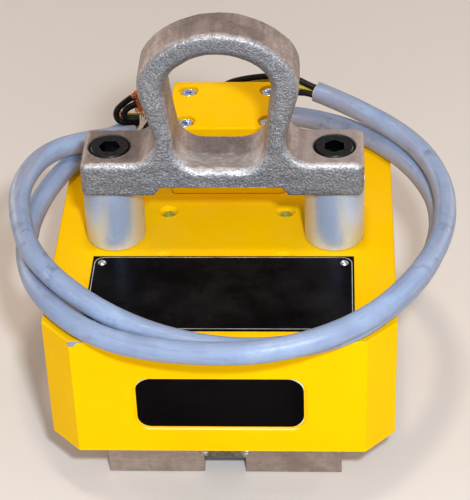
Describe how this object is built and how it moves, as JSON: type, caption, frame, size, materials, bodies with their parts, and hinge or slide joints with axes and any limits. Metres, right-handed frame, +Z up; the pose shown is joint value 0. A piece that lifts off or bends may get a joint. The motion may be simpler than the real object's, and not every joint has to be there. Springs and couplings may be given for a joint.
{
  "type": "electro-permanent lifting magnet",
  "caption": "Square lifting magnet with pole shoes underneath, a forged lifting eye on columns, a terminal box and a coiled supply cable with stripped ends",
  "frame": {"origin": "on the ground under the middle of the body, at the level of the pole faces", "axes": "+Z up through the lifting eye, front with the label toward -Y, terminal box toward +Y, X along the lifting bracket"},
  "size_m": [0.2786, 0.2721, 0.2755],
  "materials": {
    "yellow_paint": "gloss",
    "pole_steel": "satin",
    "alnico": "ground",
    "former_plastic": "matte",
    "winding": "enamelled",
    "rare_earth": "plated",
    "brass_sheet": "satin",
    "black_oxide": "black oxide",
    "spacer_steel": "satin",
    "column_steel": "turned satin",
    "forged_steel": "forged and blasted",
    "black_rubber": "matte",
    "bright_zinc": "bright zinc",
    "block_plastic": "moulded",
    "gland_plastic": "moulded",
    "plate_black": "black anodised",
    "rivet_aluminium": "satin",
    "label_black": "satin film",
    "cable_grey": "extruded sheath",
    "core_black": "extruded",
    "core_green_yellow": "extruded, two colours",
    "copper": "bare strands"
  },
  "bodies": {
    "root": {"magnet_housing": "yellow_paint", "pole_core_left": "pole_steel", "pole_core_right": "pole_steel", "alnico_magnet_left": "alnico", "alnico_magnet_right": "alnico", "coil_former_left": "former_plastic", "coil_former_right": "former_plastic", "coil_left": "winding", "coil_right": "winding", "side_magnet_left": "rare_earth", "side_magnet_right": "rare_earth", "centre_magnet": "rare_earth", "bottom_cover_plate": "brass_sheet", "pole_shoe_left": "pole_steel", "pole_shoe_right": "pole_steel", "shoe_screws": "black_oxide", "shoe_spacer_front": "spacer_steel", "shoe_spacer_rear": "spacer_steel", "column_left": "column_steel", "column_right": "column_steel", "lifting_bracket": "forged_steel", "bracket_screw_left": "black_oxide", "bracket_screw_right": "black_oxide", "terminal_box": "yellow_paint", "terminal_box_lid": "yellow_paint", "lid_gasket": "black_rubber", "lid_screws": "bright_zinc", "terminal_block": "block_plastic", "box_screws": "bright_zinc", "coil_leads": "winding", "gland_body": "gland_plastic", "gland_cap": "gland_plastic", "gland_seal": "black_rubber", "gland_locknut": "gland_plastic", "nameplate": "plate_black", "nameplate_rivets": "rivet_aluminium", "front_label": "label_black", "supply_cable": "cable_grey", "core_upper": "core_black", "core_lower": "core_black", "core_earth": "core_green_yellow", "tail_core_outer": "core_black", "tail_core_inner": "core_black", "tail_core_earth": "core_green_yellow", "tail_copper": "copper"}
  },
  "joints": []
}
